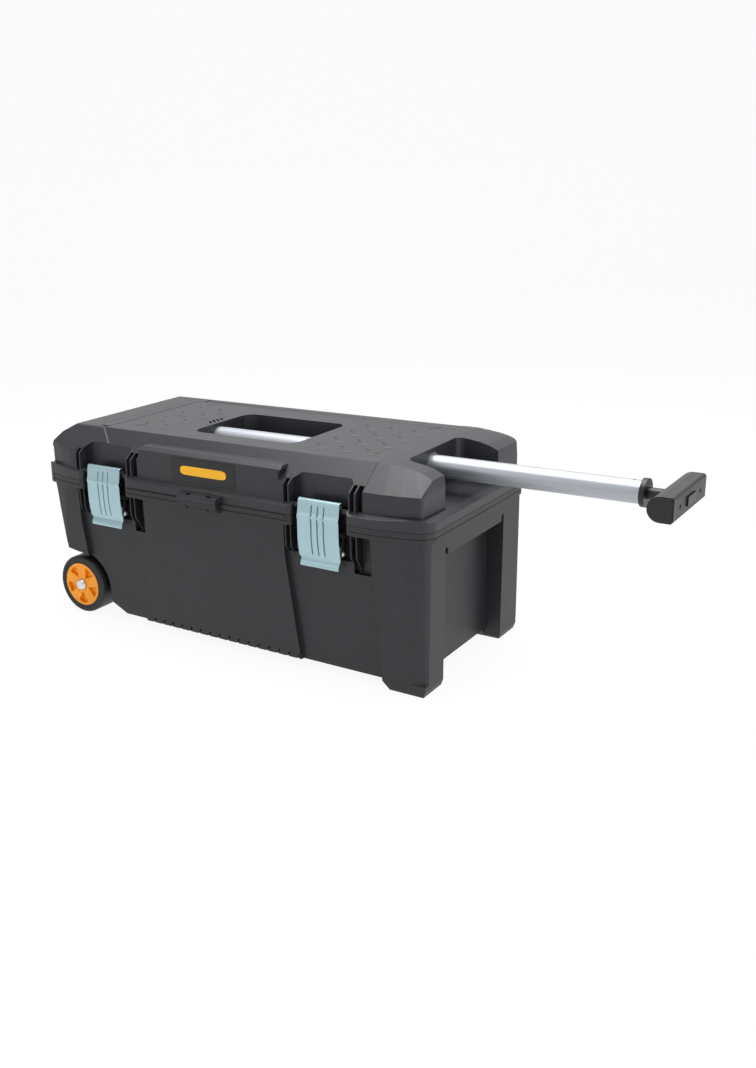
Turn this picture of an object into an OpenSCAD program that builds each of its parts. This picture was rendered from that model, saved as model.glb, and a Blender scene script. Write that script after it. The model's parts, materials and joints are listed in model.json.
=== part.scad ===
// Rolling tool box: a foam-moulded tub on two wheels, a hinged lid with a carry tube set in a well,
// a pull handle that telescopes out of the lid, and two steel toggle latches.
// +X points to the handle end, -Y to the latches, +Z up. The origin is on the floor under the rim's middle.

/* [Overall] */
// Reach of the rim to the wheel end, from the origin
hl = 365; // [340:1:420]
// Reach of the rim to the handle end, from the origin
hr = 360; // [350:1:370]
// Width over the rim
rim_w = 326; // [310:1:380]
// Extra reach of the rim and the tub at the hinge side
rear = 6; // [0:1:8]
// Set-back of the rim's front corners behind the middle of its bowed front
bow = 12; // [0:1:16]
// Height of the parting line between tub and lid
part_z = 240; // [236:0.5:246]
// Height of the lid above the parting line
lid_h = 80.5; // [78:0.5:84]
// Wall of the mouldings
wall = 4.5; // [3:0.5:6]
// Corner radius of the rim, in plan
rim_r = 22; // [15:1:30]

/* [Tub] */
// Height of the tub's rim flange
tub_flange_h = 15; // [12:1:18]
// Height of the tub's underside above the floor
tub_bottom_z = 12; // [8:1:20]
// Set-back of the side walls from the rim, at the flange
side_step = 8; // [5:0.5:12]
// Inward lean of each side wall over the tub's height
side_lean = 5; // [3:1:10]
// Depth of the channels beside the front panels
channel_d = 8; // [4:1:12]
// Depth of the recess in the handle end
end_recess_d = 26; // [15:1:32]
// Length of the feet along the box
foot_l = 54; // [40:1:80]
// Width of each foot
foot_w = 56; // [40:1:70]

/* [Lid] */
// Height of the lid's rim flange
lid_flange_h = 13; // [10:0.5:16]
// Width of the front chamfer of the lid
chamfer_w = 38; // [28:1:46]
// Left edge of the deck panel
deck_x0 = -276; // [-300:1:-250]
// Right edge of the deck panel, where the end cap starts
deck_x1 = 258; // [240:1:270]
// Thickness of the deck panel
deck_t = 4; // [3:0.5:6]
// Left edge of the carry opening
well_x0 = -108; // [-125:1:-90]
// Right edge of the carry opening
well_x1 = 89; // [70:1:110]
// Front edge of the carry opening
well_y0 = -71; // [-75:1:-60]
// Rear edge of the carry opening
well_y1 = 82; // [70:1:90]
// Dark gap at the seams of the lid
seam = 0.8; // [0.4:0.1:1.2]
// Half width of the handle recess in the end cap
recess_hw = 80; // [70:1:90]
// Inner wall of the handle recess
recess_x = 286; // [278:1:300]

/* [Latches] */
// Middle of the right latch
latch_x_right = 188; // [175:1:200]
// Middle of the left latch
latch_x_left = -225; // [-235:1:-215]
// Width of the latch plates
latch_w = 70; // [55:1:78]
// Thickness of the latch plates
latch_t = 1.5; // [1:0.1:2]
// Reach of the latch pockets to the right of the latch's middle
pocket_right = 79; // [72:1:85]
// Reach of the latch pockets to the left of the latch's middle
pocket_left = 63; // [62:1:70]
// Height of the latch rivets
rivet_z = 193; // [188:1:200]
// Height of the latch pivot pins
pivot_z = 217; // [212:1:222]

/* [Wheels] */
// Wheel diameter
wheel_d = 99; // [80:1:110]
// Wheel width
wheel_w = 44; // [30:1:50]
// Place of the axle along the box
axle_x = -303; // [-310:1:-290]
// Axle diameter
axle_d = 12; // [8:1:16]
// Hub diameter
hub_d = 74; // [60:1:80]

/* [Handle] */
// Outer diameter of the carry tube
carry_od = 38; // [34:1:42]
// Wall of both tubes
tube_wall = 1.6; // [1.2:0.1:2.5]
// Outer diameter of the sliding tube
slide_od = 32; // [26:1:33]
// Height of both tubes' axis
tube_z = 295; // [292:0.5:297]
// How far the pull handle slides
travel = 292; // [200:1:292]
// Length of the grip, across the box
grip_l = 144; // [110:1:146]
// Depth of the grip along the box
grip_d = 34; // [28:1:40]
// Height of the grip
grip_h = 34; // [28:1:38]

/* [Clearances] */
// Radial gap of a part that turns or slides in its bearing
run_gap = 0.05; // [0.02:0.01:0.1]
// Gap between parts that move past each other
free_gap = 0.5; // [0.3:0.1:1]

/* [Hidden] */
$fn = 48;
hw = rim_w / 2;
bow_x = 262;
bow_r = (88 * 88 + bow * bow) / (2 * max(bow, 1));
deck_z = part_z + lid_h;
flange_z = part_z - tub_flange_h;
lid_z = part_z + free_gap;
ledge_z = part_z + lid_flange_h;
ledge_top = ledge_z + 5;
under_deck_z = deck_z - deck_t;
fold_z = deck_z - chamfer_w + 4;
wall_y = hw - 10;
fold_y = wall_y - chamfer_w - 3;
tub_y = hw - side_step;
pocket_y = hw - 26;
cutter = 400;

// Places along the box
tub_left_top = -hl + 19;
tub_left_low = -hl + 40;
tub_right_top = hr - 4;
tub_right_low = hr - 5;
lid_left = -hl + 14;
cap_right = hr - 6;

// Wheels
wheel_r = wheel_d / 2;
arch_r = wheel_r + 10.5;
wheel_y0 = hw - 13 - wheel_w;
web_t = 8;
web_ys = [-wheel_y0 + 3, -40, 32, wheel_y0 - 3 - web_t];
bush_r = axle_d / 2 + 3;
cap_t = 5;

// Hinge
lip_z = 196;
hinge_y = hw + rear + 6.5;
hinge_z = part_z;
knuckle_r = 6;
hinge_pin_r = 2.5;
hinge_xs = [-230, 0, 230];
tub_knuckle_l = 14;
lid_knuckle_l = 24;

// Latches
latch_xs = [latch_x_left, latch_x_right];
fin_offsets = [-60, -51, 51, 60];
fin_t = 2;
gap_hw = 45;
pocket_z = 167;
latch_y = hw - 1;
crease_z = part_z + 3;
rivet_y = latch_y - 9;
rivet_r = 2.5;
pivot_y = pocket_y + 10;
cheek_t = 2;
cheek_x = latch_w / 2 + 1;
ear_t = 1.5;

// Handle
carry_id = carry_od - 2 * tube_wall;
slide_id = slide_od - 2 * tube_wall;
carry_x0 = -126;
carry_x1 = recess_x;
grip_x1 = hr + 2 + travel;
grip_x0 = grip_x1 - grip_d;
collar_x = grip_x0 - 27;
slide_x0 = 215;
slide_x1 = collar_x;
bush_l = 25;
plug_l = 20;
lock_x = 228;
lock_r = 4;
rod_r = 2.5;
button_w = 34;
button_h = 12;
button_travel = 4;
button_proud = 2.5;
press_stop = 0.3;
grip_split = grip_x0 + 20;
grip_wall = 3;
grip_cap_t = 7;

// Basic shapes

// A prism of a (y, z) outline that runs along X
module yz(points, x0, x1) {
    translate([x0, 0, 0]) rotate([90, 0, 90]) linear_extrude(x1 - x0) polygon(points);
}

// A prism of an (x, z) outline that runs along Y
module xz(points, y0, y1) {
    translate([0, y1, 0]) rotate([90, 0, 0]) linear_extrude(y1 - y0) polygon(points);
}

// A box between two corners
module block(low, high) {
    translate(low) cube(high - low);
}

// A round bar along X, Y or Z
module bar_x(r, x0, x1, y = 0, z = 0) {
    translate([x0, y, z]) rotate([0, 90, 0]) cylinder(r = r, h = x1 - x0);
}
module bar_y(r, y0, y1, x = 0, z = 0) {
    translate([x, y0, z]) rotate([-90, 0, 0]) cylinder(r = r, h = y1 - y0);
}
module bar_z(r, z0, z1, x = 0, y = 0) {
    translate([x, y, z0]) cylinder(r = r, h = z1 - z0);
}

// A rectangle with round corners, centred
module round_rect(l, w, r) {
    square([l - 2 * r, w], center = true);
    square([l, w - 2 * r], center = true);
    for (x = [-1, 1], y = [-1, 1]) translate([x * (l / 2 - r), y * (w / 2 - r)]) circle(r);
}

// How far the bowed front is behind its middle at x
function bow_y(x) = let (d = max(0, abs(x) - bow_x)) bow_r - sqrt(bow_r * bow_r - d * d);

// Points of a round corner of radius r about (x, y), from angle a0 over 90 degrees
function corner(x, y, r, a0) = [for (i = [0 : 6]) [x + r * cos(a0 + 15 * i), y + r * sin(a0 + 15 * i)]];

// The rim's outline in plan, inset by t
function plan_outline(t) = let (r = rim_r - min(t, rim_r - 6), x0 = -hl + t, x1 = hr - t, y0 = -hw + t,
    y1 = hw + rear - t) concat(
    [for (x = [x0 + r + 5 : 16 : -bow_x]) [x, y0 + bow_y(x - 5)]],
    [for (x = [bow_x : 16 : x1 - r - 5]) [x, y0 + bow_y(x + 5)]],
    corner(x1 - r, y0 + bow + r, r, -90), corner(x1 - r, y1 - r, r, 0), corner(x0 + r, y1 - r, r, 90),
    corner(x0 + r, y0 + bow + r, r, 180));
module rim_plate(t, z0, z1) {
    translate([0, 0, z0]) linear_extrude(z1 - z0) polygon(plan_outline(t));
}

// Where the rim flange stops at a latch: a notch with rounded outer corners
module flange_gap(x, z0, z1) {
    r = 10;
    translate([x, -hw, z0]) linear_extrude(z1 - z0) {
        translate([-gap_hw, -10]) square([2 * gap_hw, 10 + hw - pocket_y]);
        for (s = [-1, 1]) translate([s * gap_hw, 0]) difference() {
            translate([s > 0 ? 0 : -r, -1]) square([r, r + 1]);
            translate([s * r, r]) circle(r);
        }
    }
}

// Tub

// Half width of the tub at height z, inset by t
function tub_hw(z, t) = tub_y - side_lean * (flange_z - z) / (flange_z - tub_bottom_z) - t;

// The tub's body without arches or pockets, inset by t, with its top at z1
module tub_body(t, z1) {
    z0 = tub_bottom_z + t;
    bevel = t > 0 ? 0 : 2;
    intersection() {
        yz([[-tub_hw(z1, t), z1], [-tub_hw(z0 + bevel, t), z0 + bevel], [-tub_hw(z0, t) + bevel, z0],
            [rear + tub_hw(z0, t) - bevel, z0], [rear + tub_hw(z0 + bevel, t), z0 + bevel],
                [rear + tub_hw(z1, t), z1]], -hl, hr);
        xz([[tub_left_top + t, z1], [tub_left_top + t, flange_z], [tub_left_low + t, 113],
            [tub_left_low + t, z0],
            [tub_right_low - t, z0], [tub_right_top - t, flange_z], [tub_right_top - t, z1]], -hw, hw + rear);
        rim_plate(min(side_step, 5) - 2.5 + t, 0, z1);
    }
}

// The room for the wheels, grown by t
module wheel_arch(t) {
    z = wheel_r;
    bar_y(arch_r + t, -cutter, cutter, axle_x, z);
    xz([[-cutter - 50, 113 + t], [tub_left_low, 113 + t], [axle_x, z + arch_r + t], [axle_x, -t],
        [-cutter - 50, -t]], -cutter, cutter);
    xz([[axle_x, z], [axle_x + arch_r + t, z], [axle_x + arch_r + 2 + t, 27 + t / 2],
        [axle_x + arch_r + 33 + t, tub_bottom_z + t / 2], [axle_x + arch_r + 33 + t, -20], [axle_x, -20]],
        -cutter, cutter);
}

// The zone in front of the front wall's low surface, and its mirror at the rear, grown by t
module channel_zone(t, side) {
    d = channel_d;
    z1 = part_z + 10;
    scale([1, side, 1]) yz([[-hw - 20, z1], [-tub_hw(z1, d + t), z1], [-tub_hw(0, d + t), 0],
        [-hw - 20, 0]], -hl, hr);
}

// Outlines of the front channels in (x, z), grown by t, up to height z1
module front_channels(t, z1) {
    left = latch_x_left;
    right = latch_x_right;
    xz([[left - pocket_left - t, z1], [left - pocket_left - t, pocket_z], [left - 40 - t, 0], [-160 + t, 0],
        [left + pocket_right + t, pocket_z], [left + pocket_right + t, z1]], -hw - 20, 0);
    xz([[right - pocket_left - t, z1], [right - pocket_left - t, pocket_z + 6], [148 - t, 0],
        [right + 101 + t, 0],
        [right + pocket_right + 3 + t, z1]], -hw - 20, 0);
}

// The deep pockets behind the latches, grown by t
module latch_pockets(t) {
    for (x = latch_xs) xz([[x - pocket_left - t, flange_z], [x - pocket_left - t, pocket_z + 14 - t],
        [x + fin_offsets[2] - t, pocket_z + 14 - t], [x + fin_offsets[2] + t, pocket_z - 3 - t],
        [x + pocket_right + t, pocket_z - 3 - t], [x + pocket_right + t, flange_z]], -hw - 20, -pocket_y + t);
}

// Everything that is cut from the tub's front wall, grown by t
module front_cuts(t, z1) {
    intersection() {
        front_channels(t, z1);
        channel_zone(t, 1);
    }
    latch_pockets(t);
}

// The recess between the corner pillars of the handle end, grown by t
module end_recess(t) {
    x0 = hr - 7 - end_recess_d - t;
    block([x0, -95 - t, -1], [hr + 20, 97 + t, lip_z + t]);
}

module fins(x, outline) {
    for (dx = fin_offsets) yz(outline, x + dx - fin_t / 2, x + dx + fin_t / 2);
}

// One bearing web for the axle
module axle_web(y) {
    difference() {
        union() {
            xz([[-321, 112], [axle_x + arch_r - 4, 112], [axle_x + arch_r + 2, 27], [axle_x, wheel_r - 13],
                [axle_x - 13, wheel_r]], y, y + web_t);
            bar_y(13, y, y + web_t, axle_x, wheel_r);
        }
        bar_y(axle_d / 2 + run_gap, y - 1, y + web_t + 1, axle_x, wheel_r);
    }
}

// A foot that stands on the floor, mirrored for the rear
module foot() {
    x1 = tub_right_low - 3;
    y0 = -tub_hw(tub_bottom_z, 0);
    top = tub_bottom_z + wall - 0.5;
    intersection() {
        xz([[x1 - foot_l - 12, top], [x1 - foot_l - 12, 12], [x1 - foot_l, 0], [x1, 0], [tub_right_low, 9],
            [tub_right_low, top]], -hw, 0);
        yz([[y0 + 1, 0], [y0, 9], [y0, top], [y0 + foot_w + 12, top], [y0 + foot_w, 0]], 200, hr);
    }
}

module tub() {
    rim_in = hw - tub_hw(flange_z, wall);
    color("#26272b") {
        difference() {
            union() {
                difference() {
                    tub_body(0, flange_z);
                    front_cuts(0, flange_z);
                    wheel_arch(0);
                    end_recess(0);
                }
                difference() {
                    rim_plate(0, flange_z, part_z);
                    for (x = latch_xs) flange_gap(x, flange_z - 1, part_z + 1);
                    // drip groove round the flange
                    difference() {
                        rim_plate(-5, flange_z + 6, flange_z + 7);
                        rim_plate(1, flange_z, part_z);
                    }
                }
                // upright wall of the pockets between the flange and the body
                hasp_block();
                finger_strips();
                for (x = latch_xs) {
                    fins(x, [[-pocket_y + 1, flange_z + 1], [-tub_y, flange_z + 1],
                        [-tub_y + 1, flange_z - 36],
                        [-pocket_y + 1, pocket_z - 2]]);
                    pivot_lug(x);
                }
            }
            // inside of the tub
            difference() {
                tub_body(wall, part_z + 1);
                front_cuts(wall, part_z + 2);
                wheel_arch(wall);
                end_recess(wall);
                block([hr - 7 - end_recess_d - wall, -95 - wall, lip_z],
                    [hr, 97 + wall, flange_z - 8 + wall]);
                for (x = latch_xs) block([x - gap_hw - wall, -hw, flange_z - 1],
                    [x + gap_hw + wall, -pocket_y + wall, part_z + 2]);
            }
            seal_groove();
            for (x = latch_xs) pivot_bore(x);
            base_notches();
            grab_lip_notches();
            hasp_holes(flange_z - 1, part_z + 1);
        }
        for (y = web_ys) axle_web(y);
        difference() {
            union() {
                foot();
                translate([0, rear, 0]) mirror([0, 1, 0]) foot();
            }
            end_recess(0);
        }
        tub_knuckles();
    }
}

// The seal sits in a groove on top of the rim, between the tub's inside and the rim's edge
seal_in = 9.5;
seal_w = 4;
seal_h = 3;
module seal_ring(grow) {
    difference() {
        rim_plate(seal_in - grow, part_z - seal_h, part_z + 1);
        rim_plate(seal_in + seal_w + grow, part_z - seal_h - 1, part_z + 2);
    }
}

module seal_groove() {
    difference() {
        seal_ring(0);
        for (x = latch_xs) block([x - gap_hw - 12, -hw, part_z - 10],
            [x + gap_hw + 12, -hw + 30, part_z + 10]);
    }
}

module rim_seal() {
    color("#151515") difference() {
        intersection() {
            seal_ring(0);
            rim_plate(0, part_z - seal_h, part_z + 0.2);
        }
        for (x = latch_xs) block([x - gap_hw - 12, -hw, part_z - 10],
            [x + gap_hw + 12, -hw + 30, part_z + 10]);
    }
}

// The padlock hasp: a block on the tub under a tab on the lid
hasp_x0 = -58;
hasp_x1 = 16;
hasp_y = hw + 11;
hasp_hole_x = [-45, -6];
hasp_hole = 9;
module hasp_block() {
    yz([[-hw + 5, part_z], [-hasp_y, part_z], [-hasp_y, part_z - 7], [-hw - 3, flange_z + 1],
        [-hw + 5, flange_z + 1]],
        hasp_x0, hasp_x1);
}

module hasp_holes(z0, z1) {
    for (x = hasp_hole_x) block([x, -hw - 8, z0], [x + hasp_hole, -hw - 2, z1]);
}

// Finger strips on the tub's flange, either side of the hasp
module finger_strips() {
    for (x = [[latch_x_left + gap_hw + 9, hasp_x0 - 6], [hasp_x1 + 6, latch_x_right - gap_hw - 9]])
        yz([[-hw + 1, part_z], [-hw - 2.5, part_z - 1], [-hw - 2.5, part_z - 4], [-hw + 1, part_z - 6]],
            x[0], x[1]);
}

// The grab lip of the handle end: the top band of the end wall, with finger room behind its lower edge
module grab_lip_notches() {
    for (y = [-95, 89]) block([hr - 7 - end_recess_d, y, lip_z - 6], [hr + 20, y + 8, lip_z + 10]);
    block([hr - 7 - end_recess_d, -88, lip_z - 10], [tub_right_low - 3, 90, flange_z - 8]);
}

// Small slanted notches along the bottom edges
notch_y = tub_hw(tub_bottom_z, 0);
module base_notches() {
    pitch = 19;
    count = floor((hr - 69 + 205) / pitch);
    wedge = [[0, -1], [4, -1], [11, 9], [7, 9]];
    for (s = [-1, 1], i = [0 : count - 1]) translate([0, s > 0 ? rear : 0, 0]) scale([1, s, 1])
        xz([for (p = wedge) [-205 + i * pitch + p[0], tub_bottom_z + p[1]]], notch_y - 4, notch_y + 1);
}

module pivot_lug(x) {
    hull() {
        bar_x(6, x - 22, x + 22, -pivot_y, pivot_z);
        block([x - 22, -pocket_y, pivot_z - 9], [x + 22, -pocket_y + 1, pivot_z + 9]);
    }
}

module pivot_bore(x) {
    bar_x(2.5 + run_gap, x - 60, x + 60, -pivot_y, pivot_z);
}

module tub_knuckles() {
    for (x = hinge_xs, s = [-1, 1]) {
        x0 = x + s * (lid_knuckle_l / 2 + 0.5 + tub_knuckle_l / 2) - tub_knuckle_l / 2;
        difference() {
            union() {
                bar_x(knuckle_r, x0, x0 + tub_knuckle_l, hinge_y, hinge_z);
                yz([[hw + rear - 2, flange_z + 4], [hinge_y + knuckle_r * 0.7, hinge_z - knuckle_r * 0.7],
                    [hinge_y, hinge_z],
                    [hw + rear - 2, hinge_z - 1]], x0, x0 + tub_knuckle_l);
            }
            bar_x(hinge_pin_r + run_gap, x0 - 1, x0 + tub_knuckle_l + 1, hinge_y, hinge_z);
        }
    }
}

module hinge_pins() {
    l = lid_knuckle_l / 2 + 0.5 + tub_knuckle_l + 1;
    color("#9a9ea3") for (x = hinge_xs) bar_x(hinge_pin_r, x - l, x + l, hinge_y, hinge_z);
}

// Axle and wheels

module axle() {
    color("#a9adb2") bar_y(axle_d / 2, -hw + 9.5, hw - 9.5, axle_x, wheel_r);
}

module axle_caps() {
    color("#c9cdd2") for (s = [-1, 1]) scale([1, s, 1]) translate([axle_x, hw - 12.5,
        wheel_r]) rotate([-90, 0, 0])
        rotate_extrude() polygon([[axle_d / 2, 0], [9.5, 0], [9.5, 2], [7.5, cap_t], [0, cap_t + 1.2],
            [0, 3.2],
            [axle_d / 2, 3.2]]);
}

module axle_washers() {
    color("#a9adb2") for (s = [-1, 1]) scale([1, s, 1]) difference() {
        bar_y(11, wheel_y0 - 3, wheel_y0 - 0.8, axle_x, wheel_r);
        bar_y(axle_d / 2 + run_gap, wheel_y0 - 4, wheel_y0, axle_x, wheel_r);
    }
}

// side is -1 for the front wheel and 1 for the rear one; shapes run along +Y from the inner face
module at_wheel(side) {
    scale([1, side, 1]) translate([axle_x, wheel_y0, wheel_r]) rotate([-90, 0, 0]) children();
}

module tyre(side) {
    r = wheel_r;
    w = wheel_w;
    color("#2b2b2d") at_wheel(side) rotate_extrude($fn = 96)
        polygon([[hub_d / 2, 0], [r - 3, 0], [r - 0.8, 1.5], [r, 4], [r, w - 5], [r - 1.2, w - 2], [r - 4, w],
            [hub_d / 2, w]]);
}

module hub(side) {
    w = wheel_w;
    r = hub_d / 2;
    color("#f5a800") at_wheel(side) difference() {
        union() {
            cylinder(r = r, h = w);
        }
        translate([0, 0, -1]) cylinder(r = bush_r, h = w + 2);
        // hollow inner side
        translate([0, 0, -1]) difference() {
            cylinder(r = r - 4, h = w - 11);
            cylinder(r = 13, h = w);
        }
        // triangular recesses in the outer face
        for (i = [0 : 4]) rotate(90 + 72 * i) translate([0, 0, w - 6]) linear_extrude(10)
            polygon([[13, 0], [29, -10], [32, -7], [33, 0], [32, 7], [29, 10]]);
    }
}

module wheel_bush(side) {
    color("#d8d8d4") at_wheel(side) translate([0, 0, 0.2]) difference() {
        cylinder(r = bush_r, h = wheel_w - 0.7);
        translate([0, 0, -1]) cylinder(r = axle_d / 2 + run_gap, h = wheel_w + 2);
    }
}

// Lid

// The lid's outer (y, z) outline inset by t, from height z0
function lid_outline(t, z0) = [[-wall_y + t, z0], [-wall_y + t, fold_z - t * 0.4],
    [-fold_y + t * 0.4, deck_z - t],
    [wall_y - 3, deck_z - t], [wall_y - 1.5, deck_z + 1.5 - t], [wall_y + 1 - t, deck_z + 1 - t],
    [wall_y + 3 - t, deck_z - t - 3], [wall_y + 3 - t, z0]];

// The lid's body from the left end to the end cap, inset by t
module lid_body(t, z0, x1) {
    intersection() {
        yz(lid_outline(t, z0), -hl, x1);
        xz([[lid_left + t, z0], [lid_left + t, deck_z - 32], [lid_left + 12 + t, deck_z - 12],
            [lid_left + 30 + t * 0.4, deck_z - t], [x1 + 1, deck_z - t], [x1 + 1, z0]], -cutter, cutter);
        rim_plate(hw - wall_y - 3 + t, z0, deck_z + 5);
    }
}

// The recesses above the latches, grown by t
module lid_pockets(t) {
    for (x = latch_xs)
        xz([[x - pocket_left - t, ledge_top - 0.01], [x - pocket_left - t, fold_z + 4],
            [x - 50 - t, fold_z + 4],
            [x - 37 - t, fold_z + 14 + t], [x + 42 + t, fold_z + 14 + t], [x + 51 + t, fold_z + 7],
            [x + 69 + t, fold_z + 7], [x + 69 + t, ledge_top - 0.01]], -hw - 20, -pocket_y + t);
}

// The raised block that carries the badge
badge_x0 = -151;
badge_x1 = 117;
module badge_block() {
    z = deck_z - 16;
    intersection() {
        yz([[-wall_y + 6, ledge_z], [-wall_y, ledge_z], [-wall_y, z - 2], [-wall_y + 8, z + 3],
            [-wall_y + 32, z + 3],
            [-wall_y + 34, fold_z + 4], [-wall_y + 6, fold_z - 10]], badge_x0, badge_x1 + 15);
        xz([[badge_x0, ledge_z - 1], [badge_x0, z], [badge_x0 + 6, z + 5], [badge_x1 + 2, z + 5],
            [badge_x1 + 4, z - 2], [badge_x1, z - 8], [badge_x1, ledge_z - 1]], -cutter, cutter);
    }
}

// The proud corner blocks at the left end
module corner_block(side) {
    scale([1, side, 1]) intersection() {
        difference() {
            xz([[lid_left, ledge_z + 1], [lid_left, deck_z - 32], [lid_left + 12, deck_z - 12],
                [lid_left + 30, deck_z - 0.5],
                [deck_x0 + 18, deck_z - 0.5], [deck_x0 + 57, deck_z - 26], [deck_x0 + 57, fold_z],
                [deck_x0 + 57, ledge_z + 1]], -cutter, cutter);
            lid_pockets(0);
        }
        yz([[-wall_y - 1, ledge_z + 1], [-wall_y - 1, fold_z + 1], [-fold_y - 3, deck_z - 0.5],
            [-fold_y + 20, deck_z - 0.5],
            [-wall_y + 5, fold_z - 5], [-wall_y + 5, ledge_z + 1]], lid_left, -200);
        rim_plate(hw - wall_y - 4, ledge_z, deck_z);
    }
}

// Bulkhead that carries the end cap and holds the carry tube
bulk_x0 = 262;
bulk_x1 = 268;

module deck_opening(grow) {
    z = grow < 0 ? under_deck_z - 3 : under_deck_z;
    block([deck_x0 - grow, -fold_y - grow, z], [deck_x1 + 40, wall_y - 3 + grow, deck_z + 5]);
}

// The ledge round the lid slopes down to the rim's edge
module ledge_slope() {
    w = hw - wall_y;
    intersection() {
        yz([[-hw, ledge_z - 1], [-hw, ledge_z], [-hw + w, ledge_top], [hw + rear - w, ledge_top],
            [hw + rear, ledge_z], [hw + rear, ledge_z - 1]],
            -hl, hr);
        xz([[-hl, ledge_z - 1], [-hl, ledge_z], [-hl + w, ledge_top], [hr - w, ledge_top], [hr, ledge_z],
            [hr, ledge_z - 1]],
            -hw, hw + rear);
        rim_plate(0, ledge_z - 1, ledge_top);
    }
}

module lid_shell() {
    color("#2a2b2f") {
        difference() {
            union() {
                difference() {
                    union() {
                        difference() {
                            lid_body(0, ledge_z - 1, deck_x1);
                            lid_pockets(0);
                        }
                        badge_block();
                        corner_block(1);
                    }
                    difference() {
                        lid_body(wall, lid_z - 2, deck_x1 + 5);
                        lid_pockets(wall);
                        deck_ledges();
                    }
                    difference() {
                        deck_opening(-5);
                        deck_ledges();
                    }
                    deck_opening(0);
                    badge_recess();
                }
                // rim flange with the ledge at the handle end
                difference() {
                    union() {
                        rim_plate(0, lid_z, ledge_z);
                        ledge_slope();
                    }
                    for (x = latch_xs) flange_gap(x, lid_z - 1, ledge_top + 1);
                    lid_pockets(0);
                    difference() {
                        rim_plate(hw - wall_y + wall, lid_z - 1, ledge_z - 4);
                        for (x = latch_xs) block([x - gap_hw - wall, -hw, lid_z - 2],
                            [x + gap_hw + wall, -pocket_y + wall, ledge_top + 2]);
                    }
                    difference() {
                        lid_body(wall, ledge_z - 5, bulk_x0);
                        lid_pockets(wall);
                    }
                }
                for (x = latch_xs) {
                    fins(x, [[-pocket_y + 1, ledge_z - 1], [-hw + 5, ledge_z - 1], [-hw + 5, fold_z - 2],
                        [-pocket_y + 1, fold_z + 14]]);
                    catch_lug(x);
                }
                bulkhead();
                hasp_tab();
            }
            bar_x(carry_od / 2, carry_x0 + 20, carry_x1 + 20, 0, tube_z);
            hasp_holes(lid_z - 1, lid_z + 14);
            for (p = deck_screw_places) bar_z(screw_r, under_deck_z - ledge_t - 1, under_deck_z + 1, p[0],
                p[1]);
            for (p = end_cap_screw_places) bar_z(screw_r, lid_z - 1, ledge_top + 1, p[0], p[1]);
        }
        lid_knuckles();
    }
}

// Ledges that the deck panel sits on
module deck_ledges() {
    z0 = under_deck_z - ledge_t;
    block([deck_x0 - wall, -fold_y - wall - 3, z0], [deck_x0 + 6, wall_y, under_deck_z]);
    block([deck_x0, wall_y - wall - 6, z0], [deck_x1, wall_y, under_deck_z]);
    block([deck_x0, -fold_y - wall - 3, z0], [deck_x1, -fold_y + 6, under_deck_z]);
}

module bulkhead() {
    difference() {
        block([bulk_x0, -wall_y + wall + 8, ledge_z - 4], [bulk_x1, wall_y - wall - 6, deck_z - deck_t - 1]);
        block([bulk_x0 - 1, -wall_y, fold_z - 6], [bulk_x1 + 1, -fold_y + 4, deck_z]);
    }
}

// The lug on the lid that the latch plate bears on
module catch_lug(x) {
    yz([[-pocket_y + 1, lid_z + 2], [-pocket_y - 14, lid_z + 6], [-pocket_y - 14, ledge_z],
        [-pocket_y + 1, ledge_top]],
        x - 28, x + 28);
}

module hasp_tab() {
    yz([[-hw + 5, lid_z], [-hasp_y - 1, lid_z], [-hasp_y - 1, lid_z + 5], [-hasp_y + 1, lid_z + 8],
        [-hw + 5, lid_z + 11]],
        hasp_x0, hasp_x1);
}

module lid_knuckles() {
    for (x = hinge_xs) difference() {
        union() {
            bar_x(knuckle_r, x - lid_knuckle_l / 2, x + lid_knuckle_l / 2, hinge_y, hinge_z);
            yz([[hw + rear - 1, lid_z + 1], [hinge_y, hinge_z],
                [hinge_y + knuckle_r * 0.7, hinge_z + knuckle_r * 0.7],
                [hw + rear - 1, ledge_z]], x - lid_knuckle_l / 2, x + lid_knuckle_l / 2);
        }
        bar_x(hinge_pin_r + run_gap, x - 20, x + 20, hinge_y, hinge_z);
    }
}

// The liner closes the lid's underside and forms the carry well
liner_in = hw - wall_y + wall + 0.3;
well_t = 3;
module well_prism(grow, z0, z1) {
    translate([(well_x0 + well_x1) / 2, (well_y0 + well_y1) / 2, z0]) linear_extrude(z1 - z0)
        round_rect(well_x1 - well_x0 + 2 * grow, well_y1 - well_y0 + 2 * grow, 20 + grow);
}

module lid_liner() {
    z1 = liner_top;
    color("#232428") difference() {
        union() {
            difference() {
                rim_plate(liner_in, lid_z, z1);
                for (x = latch_xs) block([x - gap_hw - wall - 0.3, -hw, lid_z - 1],
                    [x + gap_hw + wall + 0.3, -pocket_y + wall + 0.3, z1 + 1]);
            }
            well_prism(well_t, lid_z, under_deck_z);
            // cradles of the carry tube
            for (x = [carry_x0 - 2, 170]) block([x, -24, z1 - 1], [x + 8, 24, tube_z]);
        }
        well_prism(0, z1 + 1, deck_z + 1);
        bar_x(carry_od / 2, carry_x0, carry_x1, 0, tube_z);
        for (p = liner_screw_places) bar_z(screw_r, lid_z - 1, liner_top + 1, p[0], p[1]);
    }
}

// Screws go up through the liner into posts under the deck panel
liner_top = lid_z + 3;
screw_r = 2;
post_r = 5;
screw_head_r = 4;
screw_head_h = 2.5;
liner_screw_places = [for (x = [-240, -150, 130, 235], y = [-90, 110]) [x, y]];
module liner_screws() {
    color("#8d9094") for (p = liner_screw_places) {
        bar_z(screw_r, lid_z, liner_top + 14, p[0], p[1]);
        bar_z(screw_head_r, lid_z - screw_head_h, lid_z, p[0], p[1]);
    }
}

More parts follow.
